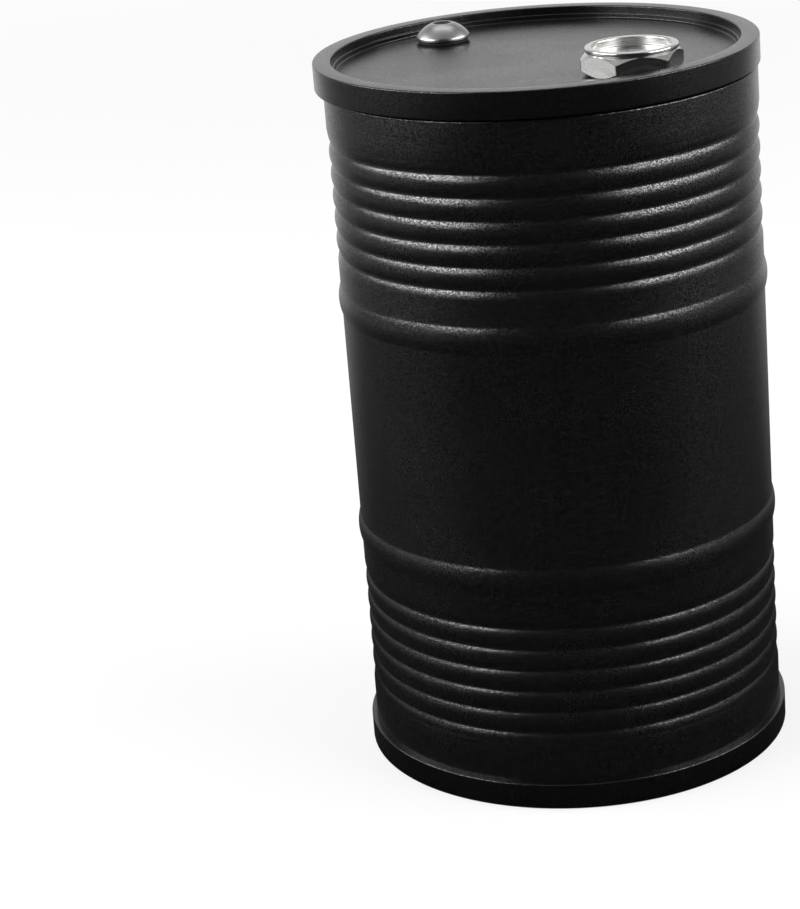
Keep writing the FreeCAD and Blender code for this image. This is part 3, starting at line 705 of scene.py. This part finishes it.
# %% Lathe marks
tree, given, out = new_group("lathe_marks", {"Vector": (0.0, 0.0, 0.0), "Feed": 0.12},
                             ["Height", "Band"])
parts = add(tree, "SeparateXYZ", {0: given["Vector"]}).outputs
far_out = add(tree, "CombineXYZ", {"X": parts[0], "Y": parts[1]})
distance = add(tree, "VectorMath", {0: far_out.outputs[0]}, operation="LENGTH").outputs["Value"]
down_side = calc(tree, "ADD", distance, parts[2])
rings = calc(tree, "DIVIDE", calc(tree, "DIVIDE", down_side, MM), given["Feed"])
line = add(tree, "TexNoise", {"W": rings, "Scale": 1.0, "Detail": 2.0},
           noise_dimensions="1D").outputs["Fac"]
wide = add(tree, "TexNoise", {"W": calc(tree, "MULTIPLY", rings, 0.17), "Scale": 1.0},
           noise_dimensions="1D").outputs["Fac"]
tree.links.new(line, out.inputs["Height"])
tree.links.new(fitted(tree, wide, 0.35, 0.65), out.inputs["Band"])
lathe_marks = tree

# %% [markdown]
# ## Dust and rubbed edges
# Dust could be scattered as small objects, but on a clean drum a mask is enough: it lies in
# blotches where a surface faces up. Hands polish the sharp edges. Blender's Pointiness finds
# those, because it tells how sharply a surface bends.

# %% Dust and rubbed edges
tree, given, out = new_group("settled_dust", {"Vector": (0.0, 0.0, 0.0), "Amount": 0.3}, ["Mask"])
facing = add(tree, "SeparateXYZ", {0: add(tree, "NewGeometry").outputs["Normal"]}).outputs[2]
blotch = add(tree, "TexNoise", {"Vector": given["Vector"], "Scale": 140.0, "Detail": 6.0,
                                "Roughness": 0.7}).outputs["Fac"]
lies = calc(tree, "MULTIPLY", fitted(tree, facing, 0.2, 0.95),
            fitted(tree, blotch, 0.4, 0.75))
tree.links.new(calc(tree, "MULTIPLY", lies, given["Amount"]), out.inputs["Mask"])
settled_dust = tree

tree, given, out = new_group("rubbed_edge", {"Vector": (0.0, 0.0, 0.0), "Amount": 0.5}, ["Mask"])
bend = add(tree, "NewGeometry").outputs["Pointiness"]
patchy = add(tree, "TexNoise", {"Vector": given["Vector"], "Scale": 400.0,
                                "Detail": 4.0}).outputs["Fac"]
edge_mask = calc(tree, "MULTIPLY", fitted(tree, bend, 0.52, 0.6), fitted(tree, patchy, 0.3, 0.6))
tree.links.new(calc(tree, "MULTIPLY", edge_mask, given["Amount"]), out.inputs["Mask"])
rubbed_edge = tree

# %% [markdown]
# ## Finishes
# The drum is powder coated black. On the wall the coat is coarse enough to sparkle. On the lid
# and the base it is smoother, and a low slant of light turns it grey. The flecks could be a
# second clear coat, but a mask into Metallic is simpler and stays crisp.

# %% Coated steel
def new_material(name):
    """An empty node material and its Principled shader."""
    print("material:", name)
    made = bpy.data.materials.new(name)
    made.use_nodes = True
    return made, made.node_tree, made.node_tree.nodes["Principled BSDF"]


def placed(tree, group, **inputs):
    """A shared group inside a material. Returns its outputs."""
    node = tree.nodes.new("ShaderNodeGroup")
    node.node_tree = group
    for key, value in inputs.items():
        if isinstance(value, bpy.types.NodeSocket):
            tree.links.new(value, node.inputs[key])
        else:
            node.inputs[key].default_value = value
    return node.outputs


def mixed_colour(tree, mask, a, b):
    """Colour a where the mask is 0, and b where it is 1. The Mix node has sockets for every
    kind of value, so they are chosen by place: 6 and 7 are its colours, 2 the result."""
    node = tree.nodes.new("ShaderNodeMix")
    node.data_type = "RGBA"
    tree.links.new(mask, node.inputs[0])
    for place_in, value in ((6, a), (7, b)):
        if isinstance(value, bpy.types.NodeSocket):
            tree.links.new(value, node.inputs[place_in])
        else:
            node.inputs[place_in].default_value = value
    return node.outputs[2]


def coated(name, colour, fleck, grain, relief, smooth, rough, dust):
    """Powder coat: its colour, how much light its flecks mirror, grain size in mm, depth of its
    relief in mm, roughness of its smooth and rough patches, and how dusty it is.

    The flecks are glossy grains. They count as metal, so that they add no colour of their own
    and only show where the coat catches a light.
    """
    material, tree, shader = new_material(name)
    where = add(tree, "TexCoord").outputs["Object"]
    powder = placed(tree, powder_grain, Vector=where, Grain=grain)
    edge_rub = placed(tree, rubbed_edge, Vector=where, Amount=0.5)
    dusty = placed(tree, settled_dust, Vector=where, Amount=dust)
    flecks = fitted(tree, powder["Speckle"], 0.52, 0.68, smooth=False)
    tree.links.new(flecks, shader.inputs["Metallic"])
    shader.inputs["Specular IOR Level"].default_value = 0.28
    tint = mixed_colour(tree, flecks, (colour, colour, colour * 1.04, 1), (fleck,) * 3 + (1,))
    tint = mixed_colour(tree, dusty["Mask"], tint, (0.12, 0.115, 0.105, 1))
    tree.links.new(tint, shader.inputs["Base Color"])
    dull = fitted(tree, powder["Cloud"], 0, 1, smooth, rough, smooth=False)
    dull = calc(tree, "MULTIPLY_ADD", edge_rub["Mask"], -0.12, dull)
    dull = calc(tree, "MULTIPLY_ADD", dusty["Mask"], 0.5, dull)
    tree.links.new(dull, shader.inputs["Roughness"])
    bump = add(tree, "Bump", {"Height": powder["Height"], "Distance": relief * MM,
                              "Strength": 1.0})
    tree.links.new(bump.outputs[0], shader.inputs["Normal"])
    return material


wall_coat = coated("wall_powder_coat", 0.0020, fleck=0.13, grain=0.28, relief=0.03,
                   smooth=0.24, rough=0.28, dust=0.01)
ring_coat = coated("ring_satin_coat", 0.0020, fleck=0.08, grain=0.28, relief=0.02,
                   smooth=0.22, rough=0.26, dust=0.01)
panel_coat = coated("panel_satin_coat", 0.0028, fleck=0.06, grain=0.28, relief=0.012,
                    smooth=0.25, rough=0.29, dust=0.01)
inner_coat = coated("inside_coat", 0.004, fleck=0.08, grain=0.4, relief=0.03,
                    smooth=0.36, rough=0.44, dust=0.04)


# %% [markdown]
# ## Plated metal
# The bung and the vent screw are bright plated steel, turned on a lathe. What the lid hides is
# plain zinc. All four are one function with other numbers. An anisotropic shader could give the
# same sheen, but real rings in the relief also show close up.

# %% Plated and bare metal
def plated(name, axis, colour, tarnish, smooth, rough, feed, relief):
    """Turned metal: the lathe's rings are centred on the piece's own axis by a Mapping node.
    The rings give a fine relief, and broad bands of slightly duller metal between."""
    material, tree, shader = new_material(name)
    where = add(tree, "TexCoord").outputs["Object"]
    centred = add(tree, "Mapping", {"Vector": where,
                                    "Location": (-axis[0] * MM, -axis[1] * MM, 0)}).outputs[0]
    marks = placed(tree, lathe_marks, Vector=centred, Feed=feed)
    edge_rub = placed(tree, rubbed_edge, Vector=where, Amount=0.6)
    smear = add(tree, "TexNoise", {"Vector": where, "Scale": 300.0, "Detail": 5.0,
                                   "Roughness": 0.6}).outputs["Fac"]
    stain = calc(tree, "MULTIPLY", fitted(tree, smear, 0.45, 0.75), marks["Band"])
    tint = mixed_colour(tree, stain, colour, tarnish)
    tree.links.new(tint, shader.inputs["Base Color"])
    dull = fitted(tree, marks["Band"], 0, 1, smooth, rough, smooth=False)
    dull = calc(tree, "MULTIPLY_ADD", edge_rub["Mask"], -0.06, dull)
    tree.links.new(dull, shader.inputs["Roughness"])
    bump = add(tree, "Bump", {"Height": marks["Height"], "Distance": relief * MM,
                              "Strength": 1.0})
    tree.links.new(bump.outputs[0], shader.inputs["Normal"])
    shader.inputs["Metallic"].default_value = 1.0
    return material


nickel = plated("bright_nickel", bung_axis, (0.60, 0.595, 0.585, 1), (0.50, 0.495, 0.485, 1),
                smooth=0.20, rough=0.30, feed=0.12, relief=0.004)
milled_nickel = plated("milled_nickel", bung_axis, (0.60, 0.595, 0.585, 1),
                       (0.48, 0.475, 0.465, 1), smooth=0.20, rough=0.28, feed=0.16, relief=0.008)
button_steel = plated("satin_screw_steel", vent_axis, (0.38, 0.38, 0.377, 1),
                      (0.29, 0.29, 0.287, 1), smooth=0.26, rough=0.36, feed=0.11, relief=0.006)
zinc = plated("zinc_plate", bung_axis, (0.62, 0.63, 0.64, 1), (0.45, 0.46, 0.47, 1),
              smooth=0.35, rough=0.5, feed=0.14, relief=0.004)

# %% [markdown]
# ## Rubber
# The three seals are black rubber. It is dull, a little cloudy, and it holds dust. The powder
# grain serves again, finer and softer.

# %% Rubber
rubber, tree, shader = new_material("black_rubber")
where = add(tree, "TexCoord").outputs["Object"]
powder = placed(tree, powder_grain, Vector=where, Grain=0.22)
dusty = placed(tree, settled_dust, Vector=where, Amount=0.35)
tint = mixed_colour(tree, powder["Cloud"], (0.012, 0.012, 0.012, 1), (0.02, 0.0195, 0.019, 1))
tint = mixed_colour(tree, dusty["Mask"], tint, (0.10, 0.095, 0.09, 1))
tree.links.new(tint, shader.inputs["Base Color"])
tree.links.new(fitted(tree, powder["Cloud"], 0, 1, 0.62, 0.75), shader.inputs["Roughness"])
bump = add(tree, "Bump", {"Height": powder["Height"], "Distance": 0.02 * MM, "Strength": 1.0})
tree.links.new(bump.outputs[0], shader.inputs["Normal"])

# %% [markdown]
# ## Finishes onto pieces
# A piece takes the finish of its slot. Two pieces differ from their slot: the milled head of the
# bung and the satin vent screw. The CAD nodes get the same finishes as the pieces above them.

# %% Finishes onto pieces
finishes = {"wall_coat": wall_coat, "rim_coat": ring_coat, "panel_coat": panel_coat,
            "inner_coat": inner_coat, "rubber": rubber, "zinc": zinc, "nickel": nickel}
for piece in pieces:
    piece.data.materials.append(finishes[piece["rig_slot"]])
vent_button.data.materials[0] = button_steel
bung_head.data.materials[0] = milled_nickel
for name, node in frame["nodes"].items():
    node.data.materials.clear()
    node.data.materials.append(finishes[slot_of_node[name]])
print("finishes:", sorted({p.data.materials[0].name for p in pieces}))

# %% [markdown]
# ## Studio
# A black object shows only what it reflects. A bright sweep stands behind and beside it, the
# room in front is dark, and two soft boxes hang above, left and right of the camera. So the
# front stays black, the flanks of the ribs catch the soft boxes, and the outline turns grey
# where the surface leans away towards the sweep. A ring of real walls would do it, but then
# they would be in the way of the camera. So the world itself tells rays apart with Light Path:
# a mirrored ray sees the studio, and a camera ray sees plain white.

# %% World
world = bpy.data.worlds.new("studio")
bpy.context.scene.world = world
world.use_nodes = True
tree = world.node_tree
ways = add(tree, "LightPath").outputs
way = add(tree, "SeparateXYZ", {0: add(tree, "TexCoord").outputs["Generated"]}).outputs


def sweep_light(tree, back):
    """Brightness of the studio in a level direction, from how far that direction points back:
    a dark room in front, dim walls at the sides, and a white sweep behind."""
    walls = fitted(tree, back, -0.8, -0.1, 0.007, 0.30)
    return calc(tree, "ADD", walls, fitted(tree, back, 0.55, 0.97, 0.0, 0.62))


ceiling = fitted(tree, way[2], 0.6, 0.95, 0.0, 0.45)
behind = calc(tree, "MAXIMUM", sweep_light(tree, way[1]), ceiling)
seen = calc(tree, "MAXIMUM", ways["Is Camera Ray"], ways["Is Transmission Ray"])
mirrored = calc(tree, "MULTIPLY", ways["Is Glossy Ray"], behind)
AMBIENT = 0.35
strength = calc(tree, "MAXIMUM", calc(tree, "MAXIMUM", seen, mirrored),
                calc(tree, "MULTIPLY", ways["Is Diffuse Ray"], AMBIENT))
background = tree.nodes["Background"]
background.inputs["Color"].default_value = (1, 1, 1, 1)
tree.links.new(strength, background.inputs["Strength"])
print("world:", len(tree.nodes), "nodes, ambient", AMBIENT)

# %% [markdown]
# ## Floor
# The floor is one large pale sheet. To a mirrored ray it glows like the sweep that it leads to,
# and only faintly beside the drum, which is a painted shadow: the glow is held low where the
# drum's shade would fall. To a camera ray it is part glow, part lit paper, so that it is nearly
# white and still holds the drum's shadow.

# %% Floor
FLOOR_HALF = 4.0                # metres from the middle to a side
FLOOR_GLOW = 0.72               # how much of the near floor is glow, to a camera ray
corners = np.array([[-1, -1, 0], [1, -1, 0], [1, 1, 0], [-1, 1, 0]]) * FLOOR_HALF
floor_mesh = bpy.data.meshes.new("floor")
floor_mesh.from_pydata(corners.tolist(), [], [[0, 1, 2, 3]])
floor = bpy.data.objects.new("floor", floor_mesh)
floor.location.z = -0.0001
bpy.context.scene.collection.objects.link(floor)

floor_paper, tree, shader = new_material("floor_paper")
shader.inputs["Base Color"].default_value = (0.9, 0.9, 0.9, 1)
shader.inputs["Roughness"].default_value = 0.9
shader.inputs["Specular IOR Level"].default_value = 0.0
where = add(tree, "TexCoord").outputs["Object"]
ways = add(tree, "LightPath").outputs
lies = add(tree, "SeparateXYZ", {0: where}).outputs
level = add(tree, "CombineXYZ", {"X": lies[0], "Y": lies[1]}).outputs[0]
far = add(tree, "VectorMath", {0: level}, operation="LENGTH").outputs["Value"]
level = add(tree, "VectorMath", {0: level}, operation="NORMALIZE").outputs[0]
# Painted shadow: the glow that mirrored rays see is held low within about half a metre of the
# drum, where its shade would fall on the floor.
sweep = calc(tree, "MULTIPLY", fitted(tree, far, 0.07, 0.55, 0.08, 1.0),
             sweep_light(tree, add(tree, "SeparateXYZ", {0: level}).outputs[1]))
glow = add(tree, "Emission", {"Color": (1, 1, 1, 1), "Strength": 1.0})
mirror_glow_with_painted_shadow = add(tree, "Emission", {"Color": (1, 1, 1, 1), "Strength": sweep})
lit = calc(tree, "MULTIPLY", ways["Is Camera Ray"], fitted(tree, far, 0.25, 1.2, FLOOR_GLOW, 1.0))
seen = add(tree, "MixShader", {0: lit, 1: shader.outputs[0], 2: glow.outputs[0]})
mixed = add(tree, "MixShader", {0: ways["Is Glossy Ray"], 1: seen.outputs[0],
                                2: mirror_glow_with_painted_shadow.outputs[0]})
tree.links.new(mixed.outputs[0], tree.nodes["Material Output"].inputs["Surface"])
floor_mesh.materials.append(floor_paper)

# %% [markdown]
# ## Lamps
# Two large soft boxes make the long highlights on the ribs, and a weak one behind lights the
# screw heads from above. An area lamp is the plainest soft box: a bigger one is softer.

# %% Lamps
def soft_box(name, azimuth, elevation, distance, width, height, watts):
    """A rectangular soft box that faces the drum. Azimuth 0 is beside the camera, and positive
    is to its right."""
    a, e = math.radians(azimuth), math.radians(elevation)
    aim = Vector((0, 0, 0.07))
    away = Vector((math.sin(a) * math.cos(e), -math.cos(a) * math.cos(e), math.sin(e)))
    lamp = bpy.data.objects.new(name, bpy.data.lights.new(name, "AREA"))
    lamp.data.shape = "RECTANGLE"
    lamp.data.size, lamp.data.size_y = width, height
    lamp.data.energy = watts
    lamp.location = aim + away * distance
    lamp.rotation_euler = away.to_track_quat("Z", "Y").to_euler()
    bpy.context.scene.collection.objects.link(lamp)
    print(f"{name}: {watts} W at {distance} m")


soft_box("soft_box_left", -78, 29, 0.8, 1.0, 0.38, 7.5)
soft_box("soft_box_right", 76, 29, 0.8, 0.9, 0.38, 6.2)
soft_box("soft_box_top", 180, 70, 1.0, 0.8, 0.5, 1.6)
